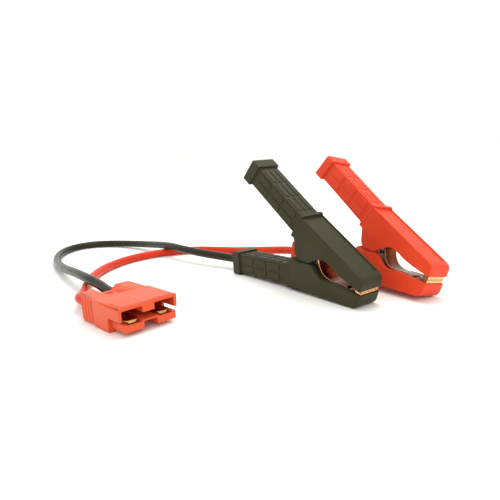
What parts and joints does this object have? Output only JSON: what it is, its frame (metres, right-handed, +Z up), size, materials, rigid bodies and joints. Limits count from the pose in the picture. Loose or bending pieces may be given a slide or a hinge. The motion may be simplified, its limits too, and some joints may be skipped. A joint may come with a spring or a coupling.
{
  "type": "battery clamp lead",
  "caption": "Battery charging lead with sprung black and red insulated clamps on single-core cables, joined by a flat power connector.",
  "frame": {"origin": "on the surface the lead lies on, under the middle of the box round the connector and both clamps", "axes": "+Z up; +X along the black clamp from its handles to its jaws; +Y from the connector towards the two clamps"},
  "size_m": [0.3403, 0.1957, 0.0845],
  "materials": {
    "connector_plastic": "satin",
    "red_cover": "satin",
    "black_cover": "satin",
    "red_sheath": "gloss",
    "black_sheath": "gloss",
    "copper": "polished",
    "tinned_copper": "polished",
    "steel": "plated",
    "spring_steel": "plated"
  },
  "bodies": {
    "lead": {"connector_housing": "connector_plastic", "positive_contact": "tinned_copper", "negative_contact": "tinned_copper", "positive_leaf": "spring_steel", "negative_leaf": "spring_steel", "positive_core": "copper", "negative_core": "copper", "cable_red": "red_sheath", "cable_black": "black_sheath", "black_lower_cover": "black_cover", "black_lower_frame": "steel", "black_lower_jaw": "copper", "black_pivot_pin": "steel", "black_spring": "spring_steel", "black_lug": "copper", "black_core": "copper", "black_lower_rivet": "steel", "red_lower_cover": "red_cover", "red_lower_frame": "steel", "red_lower_jaw": "copper", "red_pivot_pin": "steel", "red_spring": "spring_steel", "red_lug": "copper", "red_core": "copper", "red_lower_rivet": "steel"},
    "black_upper_arm": {"black_upper_cover": "black_cover", "black_upper_frame": "steel", "black_upper_jaw": "copper", "black_upper_rivet": "steel"},
    "red_upper_arm": {"red_upper_cover": "red_cover", "red_upper_frame": "steel", "red_upper_jaw": "copper", "red_upper_rivet": "steel"}
  },
  "joints": [
    {"name": "black_jaw_hinge", "type": "hinge", "parent": "lead", "child": "black_upper_arm", "pos_m": [0.00524, 0.03395, 0.02368], "axis": [0, -1, 0], "range_deg": [0, 28], "stiffness_Nm_per_rad": 1.2, "springref_deg": -51.57, "deforming": ["black_spring"]},
    {"name": "red_jaw_hinge", "type": "hinge", "parent": "lead", "child": "red_upper_arm", "pos_m": [0.0239, 0.07516, 0.02496], "axis": [-0.0514, -0.9803, 0.1908], "range_deg": [0, 28], "stiffness_Nm_per_rad": 1.2, "springref_deg": -51.57, "deforming": ["red_spring"]}
  ]
}
